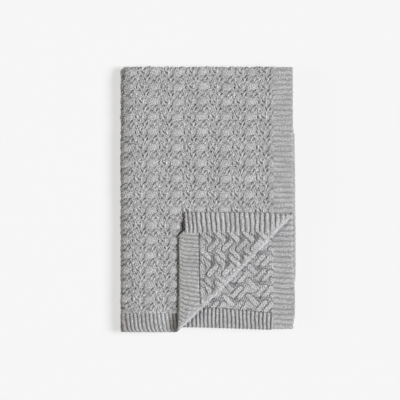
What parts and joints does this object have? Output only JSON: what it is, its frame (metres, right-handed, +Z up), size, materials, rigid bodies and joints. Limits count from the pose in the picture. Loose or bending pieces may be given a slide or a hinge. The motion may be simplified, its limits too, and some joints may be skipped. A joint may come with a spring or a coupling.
{
  "type": "folded chunky knit blanket",
  "caption": "Chunky knit blanket in plaits with ribbed and ridged borders, folded in four to lie flat, with one corner turned back.",
  "frame": {"origin": "middle of the underside, on the surface that the folded blanket lies on", "axes": "+Z up, +Y along the folded blanket's length towards its top fold, +X across it from the left fold towards the open ends"},
  "size_m": [0.496, 0.752, 0.0496],
  "materials": {
    "knit": "matte heather-grey chunky yarn, softly fuzzy"
  },
  "bodies": {
    "root": {"blanket": "knit"}
  },
  "joints": []
}
